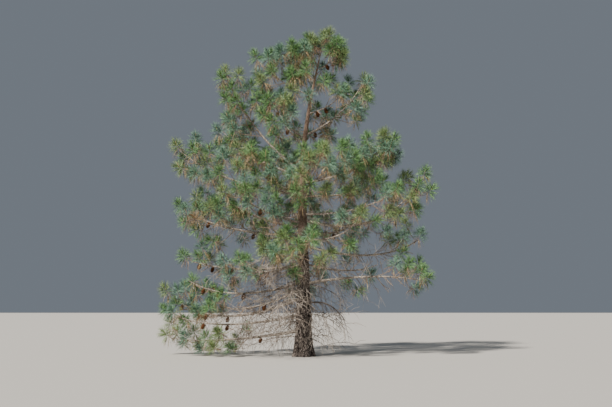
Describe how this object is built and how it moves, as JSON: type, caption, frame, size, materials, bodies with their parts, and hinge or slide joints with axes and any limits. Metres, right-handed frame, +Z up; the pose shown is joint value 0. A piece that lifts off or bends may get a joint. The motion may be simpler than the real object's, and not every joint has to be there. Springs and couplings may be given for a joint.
{
  "type": "pine tree",
  "caption": "Open-grown long-needled pine with one tapering trunk, upturned boughs, tufts of needles, hanging cones and bare dead twigs low on the stem.",
  "frame": {"origin": "centre of the flat cut under the trunk, at ground level", "axes": "+Z up along the trunk, +X to the right and -Y towards the viewer as the picture shows the tree"},
  "size_m": [8.0178, 5.9845, 9.1173],
  "materials": {
    "bark": "rough grey-brown bark in plates with darker furrows",
    "bough_bark": "rough pale grey-brown bark",
    "needles": "long matt grey-green needles, some dead and tan",
    "cones": "dry brown cone scales",
    "dead_wood": "weathered grey bare twigs"
  },
  "bodies": {
    "root": {"trunk": "bark", "bough_right_top": "bough_bark", "bough_right_upper": "bough_bark", "bough_right_middle": "bough_bark", "bough_right_front": "bough_bark", "bough_right_lower": "bough_bark", "bough_right_lowest": "bough_bark", "bough_left_top": "bough_bark", "bough_left_upper": "bough_bark", "bough_left_middle": "bough_bark", "bough_left_long": "bough_bark", "bough_left_low": "bough_bark", "bough_left_lower": "bough_bark", "bough_left_reach": "bough_bark", "bough_left_foot": "bough_bark", "bough_left_ground": "bough_bark", "needles_right_top": "needles", "needles_right_upper": "needles", "needles_right_middle": "needles", "needles_right_front": "needles", "needles_right_lower": "needles", "needles_right_lowest": "needles", "needles_left_top": "needles", "needles_left_upper": "needles", "needles_left_middle": "needles", "needles_left_long": "needles", "needles_left_low": "needles", "needles_left_lower": "needles", "needles_left_reach": "needles", "needles_left_foot": "needles", "needles_left_ground": "needles", "needles_left_inner": "needles", "needles_top_right": "needles", "needles_top_left": "needles", "needles_top_far_left": "needles", "needles_top_back": "needles", "needles_top_front": "needles", "needles_right_inner": "needles", "needles_left_front_top": "needles", "needles_back_top": "needles", "needles_left_behind": "needles", "needles_right_behind": "needles", "needles_left_front": "needles", "needles_left_front_low": "needles", "needles_front_right": "needles", "needles_front": "needles", "needles_front_left_low": "needles", "needles_front_right_low": "needles", "needles_front_low": "needles", "needles_left_front_lower": "needles", "needles_left_front_foot": "needles", "needles_back_left_high": "needles", "needles_back": "needles", "needles_back_right": "needles", "needles_back_left": "needles", "needles_back_low": "needles", "needles_right_behind_low": "needles", "needles_leader": "needles", "dead_twigs_right": "dead_wood", "dead_twigs_left": "dead_wood"}
  },
  "joints": []
}
